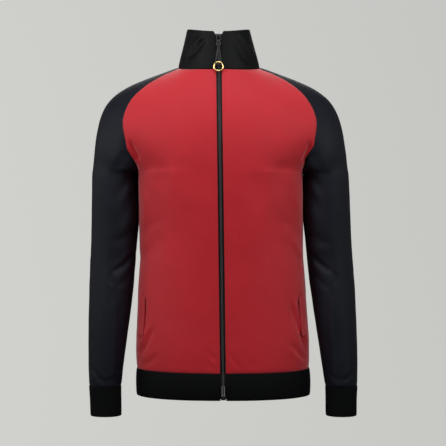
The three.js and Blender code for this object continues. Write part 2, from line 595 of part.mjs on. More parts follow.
// Slider, at the top of the zip: two plates, the post between them, and the bridge of the pull. It
// is laid out upright, with the hinge of the pull at the origin, and tipped to the collar's slope.
const SLIDER_OUTLINE = [
  [-2.8, -4.6], [2.8, -4.6], [3.6, -3.6], [4.25, 3.2], [3.2, 4.4], [-3.2, 4.4], [-4.25, 3.2], [-3.6, -3.6],
];
const PLATE = 1.8;
const PLATE_GAP = 0.4;
const BAR_RADIUS = 0.7;
const BAR_GAP = 0.35;
const BRIDGE = 1.3;
const CHAIN_FACE = BAR_RADIUS + BAR_GAP + PLATE + PLATE_GAP;
const HINGE = { x: -LEAN * HINGE_Z, y: frontLine(HINGE_Z) + CHAIN_SUNK - CHAIN_FACE, z: HINGE_Z };
const COLLAR_SLOPE = (frontLine(HINGE_Z) - frontLine(0)) / HINGE_Z;
{
  const inside = BAR_RADIUS + BAR_GAP;
  const legEnd = inside + BRIDGE;
  const chainBack = CHAIN_FACE + CHAIN_THICKNESS;
  const parts = [
    plate(SLIDER_OUTLINE, [], inside, inside + PLATE),
    plate(SLIDER_OUTLINE, [], chainBack + PLATE_GAP, chainBack + PLATE_GAP + 1.4),
    block([-1.2, CHAIN_FACE - 1, 0.2], [1.2, chainBack + 1, 3.6]),
    block([-BRIDGE, -legEnd, -legEnd], [BRIDGE, -inside, legEnd]),
    block([-BRIDGE, -legEnd, -legEnd], [BRIDGE, inside + 0.4, -inside]),
    block([-BRIDGE, -legEnd, inside], [BRIDGE, inside + 0.4, legEnd]),
  ];
  const slider = geometryOf(parts.reduce((sum, part) => sum.add(part)));
  slider.rotateX(-Math.atan(COLLAR_SLOPE)).translate(HINGE.x, HINGE.y, HINGE.z);
  add('zip_slider', slider, METAL_BLACK);
}

// The pull hangs from the bridge. Its pieces are laid out upright, with the hinge at the origin,
// and are then tipped to hang clear of the collar.
const EYE = { z: -16.2, outer: 5.2, inner: 3.1 };
const CORD_RADIUS = 0.9;
const RING = { z: -62.2, radius: 9, wire: 1.3 };
const circle = (radius, z, from, to, count) => shares(count, from, to).map((a) => {
  const angle = THREE.MathUtils.degToRad(a);
  return [radius * Math.cos(angle), z + radius * Math.sin(angle)];
});
function hang(name, geometry, material) {
  add(name, geometry.rotateX(-Math.atan(PULL_SLOPE)).translate(HINGE.x, HINGE.y, HINGE.z), material);
}

// Pull tab: a slot that the bridge passes through, and a round eye below it for the cord
{
  const outline = [
    [-3.7, BAR_RADIUS], [-4.5, -0.2], [-4.5, -7.6], [-3.4, -10.8],
    ...circle(EYE.outer, EYE.z, 122, 418, 20),
    [3.4, -10.8], [4.5, -7.6], [4.5, -0.2], [3.7, BAR_RADIUS],
  ];
  const slot = [[-3.1, -BAR_RADIUS], [3.1, -BAR_RADIUS], [3.1, -7.4], [2.3, -9], [-2.3, -9], [-3.1, -7.4]];
  const eye = circle(EYE.inner, EYE.z, 0, 360, 16).slice(0, -1);
  hang('pull_tab', geometryOf(plate(outline, [slot, eye], -BAR_RADIUS, BAR_RADIUS)), METAL_BLACK);
}

// Pull cord: a loop that goes through the eye and round the top of the ring. in is how far it lies
// behind the tab and the ring, and down how far below the hinge.
const CORD_PATH = [
  { x: 0, in: 0, down: 16.4 },
  { x: -0.35, in: -1.6, down: 17.4 },
  { x: -0.8, in: -2.3, down: 20.4 },
  { x: -1.6, in: -2.2, down: 26 },
  { x: -3.4, in: -2.3, down: 38 },
  { x: -5.3, in: -2.8, down: 52 },
  { x: -5.0, in: -2.3, down: 55.6 },
  { x: -2.8, in: -0.8, down: 58 },
  { x: 2.8, in: 0.8, down: 58 },
  { x: 5.0, in: 2.3, down: 55.6 },
  { x: 5.3, in: 2.8, down: 52 },
  { x: 3.4, in: 2.3, down: 38 },
  { x: 1.6, in: 2.2, down: 26 },
  { x: 0.8, in: 2.3, down: 20.4 },
  { x: 0.35, in: 1.6, down: 17.4 },
];
{
  const path = new THREE.CatmullRomCurve3(CORD_PATH.map((p) => vector(p.x, p.in, -p.down)), true);
  hang('pull_cord', new THREE.TubeGeometry(path, 56, CORD_RADIUS, 6, true), TAPE_BLACK);
}

// Pull ring
{
  const ring = new THREE.TorusGeometry(RING.radius, RING.wire, 8, 24).rotateX(Math.PI / 2);
  hang('pull_ring', ring.translate(0, 0, RING.z), METAL_GOLD);
}

// Pocket welts, lying on the fronts by the side seams: grid points of the front, moved out
for (const { side, mirrored } of SIDES) {
  const ups = bodyUps.filter((u) => u > upOf(WELT_SPAN.bottom - 1) && u < upOf(WELT_SPAN.top + 1));
  const vs = BODY_SHARES.filter((v) => v >= WELT_SPAN.inner && v <= WELT_SPAN.outer);
  const lift = WELT_THICKNESS + SEAM_GAP;
  const [outer, inner] = gridsOf(frontSurface, ups, vs, 2, 1, false, WELT_THICKNESS, lift);
  addCloth(`pocket_welt_${side}`, wall(outer, inner, { mirrored }), FABRIC_RED);
}

export default jacket;
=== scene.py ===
"""A zip-front track jacket with raglan sleeves, a stand collar, a hem band and cuffs, filled out as
it is when worn, with no wearer. Metres. +Z is up, the front faces -Y, and +X is the wearer's left."""

import math

import bmesh
import bpy
import numpy as np
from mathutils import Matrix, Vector, noise
from mathutils.kdtree import KDTree


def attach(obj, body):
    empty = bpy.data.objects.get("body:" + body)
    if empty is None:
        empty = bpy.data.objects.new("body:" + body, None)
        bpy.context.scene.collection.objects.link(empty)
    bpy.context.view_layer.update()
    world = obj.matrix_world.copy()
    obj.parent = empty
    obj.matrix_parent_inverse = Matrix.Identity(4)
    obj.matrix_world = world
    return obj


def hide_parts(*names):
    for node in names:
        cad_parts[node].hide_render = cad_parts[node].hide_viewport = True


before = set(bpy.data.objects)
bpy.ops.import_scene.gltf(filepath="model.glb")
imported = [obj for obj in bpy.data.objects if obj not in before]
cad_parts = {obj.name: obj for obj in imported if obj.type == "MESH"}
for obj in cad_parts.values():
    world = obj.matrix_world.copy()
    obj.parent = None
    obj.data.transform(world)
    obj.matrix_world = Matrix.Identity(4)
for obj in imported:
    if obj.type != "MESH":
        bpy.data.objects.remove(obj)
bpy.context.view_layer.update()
scene = bpy.context.scene

# Fronts
# Each front is one panel of smooth red polyester knit, cut from the hem band to the neck. It is sewn
# to the zip, the side seam, the raglan seam and the collar, and hangs from the shoulders.
MM = 0.001
LEAN = 0.0134
SINGLE_CLOTH = 1.2 * MM
FRONT = Vector((0, -1, 0))


def select_only(piece):
    bpy.ops.object.select_all(action="DESELECT")
    piece.select_set(True)
    bpy.context.view_layer.objects.active = piece


def apply(piece, kind, **settings):
    """Adds one modifier and applies it."""
    modifier = piece.modifiers.new(kind.title(), kind)
    for setting, value in settings.items():
        setattr(modifier, setting, value)
    select_only(piece)
    bpy.ops.object.modifier_apply(modifier=modifier.name)


def copy_of(node, name):
    """A merged copy of a CAD node, ready to be worked on."""
    piece = bpy.data.objects.new(name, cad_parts[node].data.copy())
    piece.data.materials.clear()
    scene.collection.objects.link(piece)
    select_only(piece)
    bpy.ops.mesh.customdata_custom_splitnormals_clear()
    bpy.ops.object.mode_set(mode="EDIT")
    bpy.ops.mesh.select_mode(type="FACE")
    bpy.ops.mesh.select_all(action="SELECT")
    bpy.ops.mesh.remove_doubles(threshold=1e-5)
    bpy.ops.mesh.select_all(action="DESELECT")
    bpy.ops.object.mode_set(mode="OBJECT")
    return piece


def cut_cloth(node, towards):
    """The outer face of one of the solid's walls, as a piece of cloth."""
    cloth = copy_of(node, f"{node}_cloth")
    facing = [face for face in cloth.data.polygons if face.normal.dot(towards) > 0.85]
    max(facing, key=lambda face: face.center.dot(towards)).select = True
    bpy.ops.object.mode_set(mode="EDIT")
    bpy.ops.mesh.faces_select_linked_flat(sharpness=math.radians(60))
    bpy.ops.mesh.select_all(action="INVERT")
    bpy.ops.mesh.delete(type="FACE")
    bpy.ops.object.mode_set(mode="OBJECT")
    lay_flat(cloth, towards)
    return cloth


def lay_flat(cloth, towards):
    """Joins the cloth's triangles in pairs and gives it a map in metres of how it was cut, with each
    row of faces laid out straight at its own length."""
    shape = bmesh.new()
    shape.from_mesh(cloth.data)
    layer = shape.loops.layers.uv.new("flat")
    first = max(shape.faces, key=lambda face: face.calc_center_median().dot(towards))
    places = dict(zip(first.loops, [(0, 0), (1, 0), (0, 1)]))
    found = [first]
    for face in found:
        for loop in face.loops:
            other = loop.link_loop_radial_next
            if other is loop or other in places:
                continue
            a, b, c = (places[corner] for corner in (loop, loop.link_loop_next, loop.link_loop_prev))
            places[other] = b
            places[other.link_loop_next] = a
            places[other.link_loop_prev] = (a[0] + b[0] - c[0], a[1] + b[1] - c[1])
            found.append(other.face)
    lines = {}
    for loop, place in places.items():
        end = places[loop.link_loop_next]
        step = (end[0] - place[0], end[1] - place[1])
        lines.setdefault(max(step, (-step[0], -step[1])), set()).add(loop.edge)

    def typical(step, measure):
        return sum(measure(edge) for edge in lines[step]) / len(lines[step])

    def climb(edge):
        return abs(edge.verts[0].co.z - edge.verts[1].co.z) / edge.calc_length()

    diagonal = max(lines, key=lambda step: typical(step, lambda edge: edge.calc_length()))
    straight_lines = [step for step in lines if step != diagonal]
    across, up = sorted(straight_lines, key=lambda step: typical(step, climb))
    turn = across[0] * up[1] - across[1] * up[0]
    grid = {
        loop: (
            turn * (place[0] * up[1] - place[1] * up[0]),
            turn * (across[0] * place[1] - across[1] * place[0]),
        )
        for loop, place in places.items()
    }
    points = {place: loop.vert.co for loop, place in grid.items()}
    flat = {}
    height = 0
    rows = sorted({row for _, row in points})
    for row in rows:
        columns = sorted(column for column, other_row in points if other_row == row)
        held = [column for column in columns if (column, row - 1) in points]
        below = [(points[column, row] - points[column, row - 1]).length for column in held]
        if below:
            height += sum(below) / len(below)
        reach = 0
        flat[columns[0], row] = (0, height)
        for column, after in zip(columns, columns[1:]):
            reach += (points[after, row] - points[column, row]).length
            flat[after, row] = (reach, height)
        straight = flat.get((0, row), (reach / 2, height))[0]
        for column in columns:
            flat[column, row] = (flat[column, row][0] - straight, height)
    for loop, place in grid.items():
        loop[layer].uv = flat[place]
    bmesh.ops.dissolve_edges(shape, edges=list(lines[diagonal]), use_verts=False)
    shape.to_mesh(cloth.data)
    shape.free()


def arrays(cloth):
    """The places and the normals of a cloth's vertices."""
    places = np.empty(len(cloth.data.vertices) * 3)
    normals = np.empty(len(cloth.data.vertices) * 3)
    cloth.data.vertices.foreach_get("co", places)
    cloth.data.vertices.foreach_get("normal", normals)
    return places.reshape(-1, 3), normals.reshape(-1, 3)


def soften(cloth, levels=3):
    """Rounds the cloth's coarse faces. In three trials, its edges first move out by as much as the
    rounding draws them in, so that the cloth still meets its neighbours."""
    corners, _ = arrays(cloth)
    along = np.zeros_like(corners)
    shape = bmesh.new()
    shape.from_mesh(cloth.data)
    for edge in shape.edges:
        if edge.is_boundary:
            start = edge.link_loops[0]
            ends = [start.vert.index, start.link_loop_next.vert.index]
            along[ends] += (start.link_loop_next.vert.co - start.vert.co).normalized()
    shape.free()
    lengths = np.linalg.norm(along, axis=1, keepdims=True)
    along /= np.maximum(lengths, 1e-9)
    rounding = {"levels": levels, "render_levels": levels, "boundary_smooth": "PRESERVE_CORNERS"}
    for _ in range(3):
        trial = cloth.copy()
        trial.data = cloth.data.copy()
        scene.collection.objects.link(trial)
        apply(trial, "SUBSURF", **rounding)
        gap = corners - arrays(trial)[0][: len(corners)]
        bpy.data.objects.remove(trial)
        across = gap - along * (gap * along).sum(axis=1, keepdims=True)
        places = arrays(cloth)[0] + np.where(lengths > 0, across, 0)
        cloth.data.vertices.foreach_set("co", places.ravel())
        cloth.data.update()
    apply(cloth, "SUBSURF", **rounding)


def move_out(cloth, amounts):
    """Moves every vertex out along its normal."""
    places, normals = arrays(cloth)
    cloth.data.vertices.foreach_set("co", (places + normals * amounts[:, None]).ravel())
    cloth.data.update()


def crease(path, width, depth, lip=0.35, lip_side=1, fade=(0.3, 0.3), back=False):
    """A soft trough, or a ridge where the depth is negative, with a low lip along one side of it. Its
    path is in millimetres as seen from the front, with the jacket upright, and fade is the share of
    its length over which it dies away at its start and at its end."""
    return {
        "path": path, "width": width, "depth": depth, "lip": lip, "lip_side": lip_side,
        "fade": fade, "towards": -1 if back else 1,
    }


LIP_PLACE = 1.9
LIP_WIDTH = 1.1
NARROW_END = 0.65


def press(cloth, creases):
    """Presses the creases into a cloth, on the side that each is seen from. A crease narrows towards
    its ends, and its lip stands one or two widths beside it."""
    places, normals = arrays(cloth)
    across = places[:, 0] / MM + LEAN * places[:, 2] / MM
    up = places[:, 2] / MM
    out = np.zeros(len(places))
    for fold in creases:
        path = fold["path"]
        lengths = [math.dist(a, b) for a, b in zip(path, path[1:])]
        nearest = np.full(len(places), 1e9)
        offset = np.zeros(len(places))
        share = np.zeros(len(places))
        run = 0
        for (x0, z0), (x1, z1), length in zip(path, path[1:], lengths):
            dx, dz = (x1 - x0) / length, (z1 - z0) / length
            along = (across - x0) * dx + (up - z0) * dz
            inside = np.clip(along, 0, length)
            side = (across - x0) * dz - (up - z0) * dx
            distance = np.hypot(along - inside, side)
            closer = distance < nearest
            nearest = np.where(closer, distance, nearest)
            offset = np.where(closer, np.copysign(distance, side), offset)
            share = np.where(closer, (run + inside) / sum(lengths), share)
            run += length
        start, end = fold["fade"]
        ends = np.clip(share / start, 0, 1) * np.clip((1 - share) / end, 0, 1)
        ends = ends * ends * (3 - 2 * ends)
        width = fold["width"] * (NARROW_END + (1 - NARROW_END) * ends)
        trough = np.exp(-((offset / width) ** 2))
        beside = offset - fold["lip_side"] * LIP_PLACE * width
        lip = np.exp(-((beside / (LIP_WIDTH * width)) ** 2))
        facing = np.clip(0.6 - fold["towards"] * normals[:, 1] * 1.4, 0, 1)
        out += MM * fold["depth"] * ends * facing * (fold["lip"] * lip - trough)
    move_out(cloth, out)


# how many waves and puckers come to a metre of cloth
BROAD_WAVES = 11
FINE_WAVES = 34
PUCKERS = 75


def slacken(cloth, amount, seed):
    """Lets a cloth wave a little, as knit does between its seams."""
    places, _ = arrays(cloth)
    shift = Vector((seed, 2 * seed, 3 * seed))
    waves = []
    for place in places:
        broad = noise.noise(Vector(place) * BROAD_WAVES + shift)
        fine = noise.noise(Vector(place) * FINE_WAVES + shift)
        waves.append(broad + 0.35 * fine)
    move_out(cloth, np.array(waves) * amount)


def draw_in(cloth, depth, width, pucker):
    """Draws the cloth in at its edges, where a seam holds it, with small puckers along them. The
    distance from the edge is kept for the material, which puts the stitching and a painted shade
    there."""
    shape = bmesh.new()
    shape.from_mesh(cloth.data)
    rim = [edge for edge in shape.edges if edge.is_boundary]
    marks = 4
    tree = KDTree(len(rim) * marks)
    for number, edge in enumerate(rim):
        a, b = (vert.co for vert in edge.verts)
        for mark in range(marks):
            tree.insert(a.lerp(b, mark / marks), number * marks + mark)
    tree.balance()
    shape.free()
    places, _ = arrays(cloth)
    distances = np.array([tree.find(Vector(place))[2] for place in places])
    ripples = np.array([noise.noise(Vector(place) * PUCKERS) for place in places])
    held = np.exp(-((distances / width) ** 2))
    near = np.exp(-distances / (2.5 * width))
    move_out(cloth, pucker * ripples * near - depth * held)
    seam = cloth.data.attributes.new("seam", "FLOAT", "POINT")
    seam.data.foreach_set("value", distances)


TURNED_DEPTH = 2.1 * MM
TURNED_UNDER = 2.2 * MM
UNDER_AT_ZIP = 0.1 * MM
ZIP_REACH = 14 * MM


def turn_in(cloth, open_edge=(0, 0)):
    """Turns the cloth's sewn edges in and a little under the next piece, but not over the zip. Edges
    at heights between the two of open_edge are open ones and are left."""
    shape = bmesh.new()
    shape.from_mesh(cloth.data)
    low, high = open_edge
    rim = []
    for edge in shape.edges:
        height = (edge.verts[0].co.z + edge.verts[1].co.z) / 2
        if edge.is_boundary and not low < height < high:
            rim.append(edge)
    outwards = {}
    for edge in rim:
        a, b = edge.verts
        along = (b.co - a.co).normalized()
        away = (a.co + b.co) / 2 - edge.link_faces[0].calc_center_median()
        away = (away - along * away.dot(along)).normalized()
        for vert in edge.verts:
            outwards.setdefault(vert, Vector()).xyz += away
    steps = {}
    for vert, away in outwards.items():
        beside_zip = abs(vert.co.x + LEAN * vert.co.z) < ZIP_REACH and vert.co.y < 0
        under = UNDER_AT_ZIP if beside_zip else TURNED_UNDER
        steps[vert] = away.normalized() * under - vert.normal * TURNED_DEPTH
    made = bmesh.ops.extrude_edge_only(shape, edges=rim)["geom"]
    for turned in (item for item in made if isinstance(item, bmesh.types.BMVert)):
        beside = [edge.other_vert(turned) for edge in turned.link_edges]
        sewn = next(vert for vert in beside if vert in steps)
        turned.co = sewn.co + steps[sewn]
    shape.to_mesh(cloth.data)
    shape.free()


def thicken(cloth, thickness):
    """Gives a cloth its thickness, inwards, and rounds its edges."""
    apply(cloth, "SOLIDIFY", thickness=thickness, offset=-1)
    apply(
        cloth, "BEVEL", width=0.3 * thickness, segments=2, limit_method="ANGLE",
        angle_limit=math.radians(55),
    )
    select_only(cloth)
    bpy.ops.object.shade_smooth_by_angle(angle=math.radians(50))


def fit(piece, node, material, body="jacket"):
    """Puts a finished piece in the place of its solid."""
    piece.data.materials.clear()
    piece.data.materials.append(material)
    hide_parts(node)
    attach(piece, body)


class Shade:
    """A socket of a material's nodes, so that its maths can be written as it reads."""

    def __init__(self, material, socket=None):
        self.material = material
        self.socket = socket

    def node(self, kind, settings=None, inputs=None, output=0):
        """Adds a node, with its settings and then its inputs, and gives one of its outputs."""
        made = self.material.node_tree.nodes.new(kind)
        for name, value in (settings or {}).items():
            setattr(made, name, value)
        for name, value in (inputs or {}).items():
            if isinstance(value, Shade):
                self.material.node_tree.links.new(value.socket, made.inputs[name])
            else:
                made.inputs[name].default_value = value
        return Shade(self.material, made.outputs[output])

    def maths(self, operation, *values, clamped=False):
        settings = {"operation": operation, "use_clamp": clamped}
        return self.node("ShaderNodeMath", settings, dict(enumerate(values)))

    def __add__(self, other):
        return self.maths("ADD", self, other)

    def __radd__(self, other):
        return self.maths("ADD", other, self)

    def __sub__(self, other):
        return self.maths("SUBTRACT", self, other)

    def __rsub__(self, other):
        return self.maths("SUBTRACT", other, self)

    def __mul__(self, other):
        return self.maths("MULTIPLY", self, other)

    def __rmul__(self, other):
        return self.maths("MULTIPLY", other, self)

    def wave(self, length):
        """A wave from 0 to 1 over this value, of this length."""
        return self.maths("SINE", self * (2 * math.pi / length)) * 0.5 + 0.5

    def blend(self, low, high):
        """From one colour to the other as this value goes from 0 to 1."""
        settings = {"data_type": "RGBA", "clamp_factor": True}
        colours = {0: self, 6: (*low, 1), 7: (*high, 1)}
        return self.node("ShaderNodeMix", settings, colours, output=2)

    def speckle(self, place, size, detail):
        """Soft noise whose spots are about this size, from 0 to 1."""
        inputs = {"Vector": place, "Scale": 1 / size, "Detail": detail}
        return self.node("ShaderNodeTexNoise", {"noise_dimensions": "3D"}, inputs)

    def feed(self, socket):
        """Links this value to a socket of the material's shader."""
        shader = self.material.node_tree.nodes["Principled BSDF"]
        self.material.node_tree.links.new(self.socket, shader.inputs[socket])


def finish_of(name, **constants):
    """A new material with one Principled shader and the plain settings of its surface."""
    material = bpy.data.materials.new(name)
    material.use_nodes = True
    shader = material.node_tree.nodes["Principled BSDF"]
    for socket, value in constants.items():
        shader.inputs[socket.replace("_", " ")].default_value = value
    return Shade(material)


STITCH_ROW = 5.5 * MM
STITCH_LENGTH = 2.8 * MM


def knit(name, deep, full, roughness, gloss, sheen, sheen_tint, wale_width=0.85 * MM):
    """Warp knit: fine upright wales of small loops, slightly uneven in tone, with painted shade along
    a seam, and one row of small stitches beside it that sink into the cloth, with a band of painted
    shade along that row."""
    start = finish_of(
        name, Sheen_Weight=sheen, Sheen_Roughness=0.5, Sheen_Tint=(*sheen_tint, 1),
        Specular_IOR_Level=gloss,
    )
    flat = start.node("ShaderNodeUVMap", {"uv_map": "flat"})
    across = start.node("ShaderNodeSeparateXYZ", inputs={"Vector": flat}, output="X")
    along = start.node("ShaderNodeSeparateXYZ", inputs={"Vector": flat}, output="Y")
    loops = across.wave(wale_width) * (along.wave(0.85 * wale_width) * 0.5 + 0.5)
    place = start.node("ShaderNodeTexCoord", output="Object")
    cloudy = start.speckle(place, 70 * MM, 3)
    fibre = start.speckle(place, 1.4 * MM, 2)
    seam = start.node("ShaderNodeAttribute", {"attribute_name": "seam"}, output="Fac")
    # painted shade: the colour darkens towards a seam, over the last 3.5 mm before it
    painted_seam_shade = start.maths("SUBTRACT", 1, seam * (1 / (3.5 * MM)), clamped=True)
    # painted shade: a band 1.4 mm wide along the stitch row is darkened in colour, as well as sunk in
    # the bump
    row = start.maths("COMPARE", seam, STITCH_ROW, 0.7 * MM)
    thread = start.maths("COMPARE", seam, STITCH_ROW, 0.3 * MM) * (across + along).wave(STITCH_LENGTH)
    tone = cloudy * 0.7 + fibre * 0.5 + loops * 0.22 - painted_seam_shade * 0.45 - row * 0.3 + thread * 0.5 - 0.1
    tone.blend(deep, full).feed("Base Color")
    (cloudy * 0.14 + (roughness - 0.07)).feed("Roughness")
    height = loops * 0.5 + fibre * 0.2 - row + thread * 1.4
    relief = {"Strength": 0.3, "Distance": 0.35 * MM, "Height": height}
    start.node("ShaderNodeBump", inputs=relief).feed("Normal")
    return start.material


red_knit = knit(
    "red_knit", (0.31, 0.0045, 0.0105), (0.44, 0.0085, 0.017), 0.62, 0.2, 0.45, (1.0, 0.5, 0.5)
)


def sew_panel(panel, creases, slack, seed):
    """Works a panel of single cloth, from its creases to its turned-in edges and its thickness."""
    press(panel, creases)
    slacken(panel, slack, seed)
    draw_in(panel, 0.7 * MM, 3.5 * MM, 0.35 * MM)
    turn_in(panel)
    thicken(panel, SINGLE_CLOTH)


FRONT_CREASES = {
    "front_left": [
        # from the pocket down to the hem, and the shorter one beside it
        crease([(129, -450), (140, -490), (153, -527), (164, -570)], 5, 2.8, lip=0.7, lip_side=-1),
        crease([(128, -540), (147, -562), (166, -584)], 4.5, 2.2, lip=0.5),
        # the mouth of the pocket
        crease([(153, -447), (149.5, -472), (149.5, -524)], 2.4, 2.4, lip=0.3, fade=(0.1, 0.1)),
        # from the waist to the side seam
        crease([(134, -333), (150, -362), (164, -386)], 5, -1.3, lip=0.4),
        crease([(112, -300), (140, -318), (166, -352)], 9, 1.0),
        # under the arm
        crease(
            [(177, -146), (173, -168), (162, -194)], 5, 5.0, lip=0.4, lip_side=-1, fade=(0.35, 0.2)
        ),
        crease(
            [(126, -180), (114, -226), (118, -272)], 14, 2.4, lip=0.6, lip_side=-1, fade=(0.4, 0.5)
        ),
        crease([(158, -226), (148, -262), (154, -312)], 9, -2.2, lip=0, fade=(0.4, 0.5)),
        crease([(66, -196), (74, -240), (70, -300)], 22, 1.6, lip=0.2, fade=(0.4, 0.5)),
        # beside the zip, above the hem band
        crease([(9, -556), (24, -576), (40, -597)], 4, 0.9, lip=0.5),
        crease([(30, -548), (46, -572), (66, -596)], 6, 0.7),
        crease([(12, -480), (22, -520), (20, -560)], 9, 0.8),
    ],
    "front_right": [
        crease([(-132, -506), (-142, -530), (-150, -548), (-167, -572)], 5, 2.8, lip=0.6),
        crease([(-121, -560), (-140, -578), (-162, -592)], 5, 1.4, lip=0.5),
        crease([(-154, -447), (-150, -472), (-150, -524)], 2.4, 2.4, lip=0.3, fade=(0.1, 0.1)),
        crease([(-130, -352), (-149, -370), (-165, -392)], 8, 1.2, lip=0.4),
        crease([(-110, -300), (-138, -316), (-166, -340)], 9, 0.9),
        crease([(-177, -146), (-170, -166), (-157, -192)], 5, 5.0, lip=0.4, fade=(0.35, 0.2)),
        crease([(-104, -190), (-112, -224), (-106, -262)], 14, 1.4, lip=0.4, fade=(0.4, 0.5)),
        crease([(-158, -224), (-146, -268), (-152, -330)], 9, -2.4, lip=0, fade=(0.4, 0.5)),
        crease([(-66, -176), (-60, -216), (-74, -262)], 20, 1.5, lip=0.3, fade=(0.4, 0.5)),
        crease([(-38, -176), (-30, -226), (-40, -290)], 20, 1.5, lip=0.2, fade=(0.4, 0.5)),
        crease([(-120, -316), (-126, -350), (-134, -400)], 14, 1.3, lip=0.6, fade=(0.4, 0.5)),
        crease([(-9, -572), (-22, -566), (-31, -548)], 4, 1.0, lip=0.5),
        crease([(-8, -592), (-20, -588), (-34, -570)], 4, 0.8, lip=0.5),
        crease([(-12, -470), (-20, -505), (-17, -540)], 9, 0.7),
    ],
}
for node, creases in FRONT_CREASES.items():
    panel = cut_cloth(node, FRONT)
    soften(panel)
    sew_panel(panel, creases, 0.9 * MM, 3.1)
    fit(panel, node, red_knit)

# Pocket welts
# Each pocket has a straight welt of the same red knit, folded double and topstitched on beside the
# side seam. Its inner edge is the mouth of the pocket and stands a little off the front.
WELT_CLOTH = 1.0 * MM
for node, side in (("pocket_welt_left", 1), ("pocket_welt_right", -1)):
    welt = cut_cloth(node, Vector((0.7 * side, -0.7, 0)))
    soften(welt, 4)
    press(welt, [crease([(side * 146, -455), (side * 146.5, -531)], 3, -0.5, lip=0)])
    draw_in(welt, 0.25 * MM, 1.5 * MM, 0.25 * MM)
    thicken(welt, WELT_CLOTH)
    fit(welt, node, red_knit)

# Back
# The back is one panel of the red knit, cut like the two fronts together but higher at the neck. It
# is sewn to both sleeves and both fronts, and hangs from the collar's seam.
back = cut_cloth("back", -FRONT)
soften(back)
sew_panel(
    back,
    [
        crease([(30, -560), (90, -520), (162, -462)], 9, 2.0, back=True),
        crease([(-24, -548), (-84, -512), (-162, -440)], 9, 2.2, back=True),
        crease([(46, -340), (100, -316), (163, -286)], 9, 1.8, back=True),
        crease([(-52, -352), (-104, -330), (-163, -304)], 9, 2.0, back=True),
        crease([(162, -196), (128, -236), (84, -262)], 8, 2.4, back=True, fade=(0.15, 0.5)),
        crease([(-162, -196), (-122, -232), (-80, -250)], 8, 2.6, back=True, fade=(0.15, 0.5)),
        crease([(-36, -414), (10, -424), (58, -410)], 8, 1.4, back=True),
        crease([(-64, -590), (-20, -574), (28, -586)], 6, 1.0, back=True),
        crease([(0, -60), (3, -140), (-2, -240)], 16, 1.2, back=True, lip=0),
        crease([(-150, -520), (-162, -560), (-166, -596)], 5, 1.4, back=True),
        crease([(148, -540), (160, -570), (166, -598)], 5, 1.5, back=True),
    ],
    1.1 * MM,
    7.7,
)
fit(back, "back", red_knit)

# Sleeves
# Each raglan sleeve is one piece of navy knit, sewn into a tube under the arm and running up over
# the shoulder to the collar. It breaks at the elbow, where the arm bends a little.
navy_knit = knit(
    "navy_knit", (0.0024, 0.0029, 0.0058), (0.0053, 0.0063, 0.0114), 0.6, 0.16, 0.0, (0.7, 0.8, 1.0)
)
ARMPIT_HEIGHT = -206
ELBOW_TOP_HEIGHT = -350
FULLNESS = 3.6 * MM
SLEEVE_CREASES = {
    "sleeve_left": [
        # the break at the elbow
        crease(
            [(172, -362), (189, -387), (205, -400), (221, -408)], 5, 3.4, lip=0.2, fade=(0.4, 0.25)
        ),
        crease([(221, -404), (224, -418), (220, -438)], 4, 1.8, lip=0.2, fade=(0.2, 0.3)),
        crease([(176, -404), (196, -428), (214, -442)], 7, 1.8, lip=0.2, fade=(0.3, 0.3)),
        crease([(170, -330), (196, -346), (226, -352)], 9, 1.8, fade=(0.1, 0.5)),
        # the long fold down the forearm
        crease([(219, -440), (216, -520), (219, -624)], 7, -1.5, lip=0, fade=(0.2, 0.1)),
        crease([(205, -450), (202, -520), (208, -618)], 8, 1.6, lip=0.3, fade=(0.2, 0.15)),
        # under the arm
        crease([(170, -204), (188, -232), (206, -262)], 8, 2.2, fade=(0.1, 0.5)),
        crease([(166, -236), (186, -272), (200, -312)], 9, 1.8, fade=(0.1, 0.5)),
        crease([(178, -172), (194, -200), (216, -222)], 8, 1.5, fade=(0.15, 0.5)),
        # above the cuff
        crease([(204, -604), (226, -618), (252, -612)], 4, 1.2, lip=0.6),
        crease([(262, -596), (246, -612), (230, -626)], 4, 0.9, lip=0.6),
        # the back of the arm
        crease([(262, -372), (232, -392), (196, -398)], 9, 2.4, back=True, fade=(0.15, 0.3)),
        crease([(264, -404), (236, -430), (198, -446)], 9, 2.0, back=True, fade=(0.15, 0.3)),
        crease([(176, -196), (196, -232), (220, -262)], 9, 2.2, back=True, fade=(0.1, 0.5)),
        crease([(232, -456), (228, -530), (236, -606)], 9, 1.6, back=True),
    ],
    "sleeve_right": [
        crease(
            [(-164, -360), (-174, -371), (-192, -394), (-219, -409)], 5, 3.6, lip=0.2, fade=(0.4, 0.2)
        ),
        crease([(-217, -404), (-219, -418), (-214, -436)], 4, 2.0, lip=0.2, fade=(0.2, 0.3)),
        crease([(-174, -398), (-190, -424), (-210, -436)], 7, 1.7, lip=0.2, fade=(0.3, 0.3)),
        crease([(-168, -322), (-194, -342), (-224, -350)], 9, 1.7, fade=(0.1, 0.5)),
        crease([(-215, -440), (-213, -520), (-217, -624)], 7, -1.5, lip=0, fade=(0.2, 0.1)),
        crease([(-201, -452), (-198, -530), (-206, -620)], 8, 1.7, lip=0.3, fade=(0.2, 0.15)),
        crease([(-170, -206), (-190, -240), (-207, -270)], 8, 2.0, fade=(0.1, 0.5)),
        crease([(-166, -244), (-184, -280), (-198, -322)], 9, 1.9, fade=(0.1, 0.5)),
        crease([(-180, -170), (-196, -196), (-218, -216)], 8, 1.5, fade=(0.15, 0.5)),
        crease([(-203, -608), (-228, -622), (-254, -610)], 4, 1.1, lip=0.6),
        crease([(-264, -590), (-248, -606), (-234, -624)], 4, 1.0, lip=0.6),
        crease([(-262, -366), (-230, -388), (-194, -394)], 9, 2.6, back=True, fade=(0.15, 0.3)),
        crease([(-264, -410), (-234, -434), (-196, -440)], 9, 1.9, back=True, fade=(0.15, 0.3)),
        crease([(-176, -198), (-198, -230), (-222, -270)], 9, 2.0, back=True, fade=(0.1, 0.5)),
        crease([(-234, -450), (-229, -520), (-233, -600)], 9, 1.7, back=True),
    ],
}
SLEEVE_SIDES = (Vector((1, 0, 0)), Vector((-1, 0, 0)))
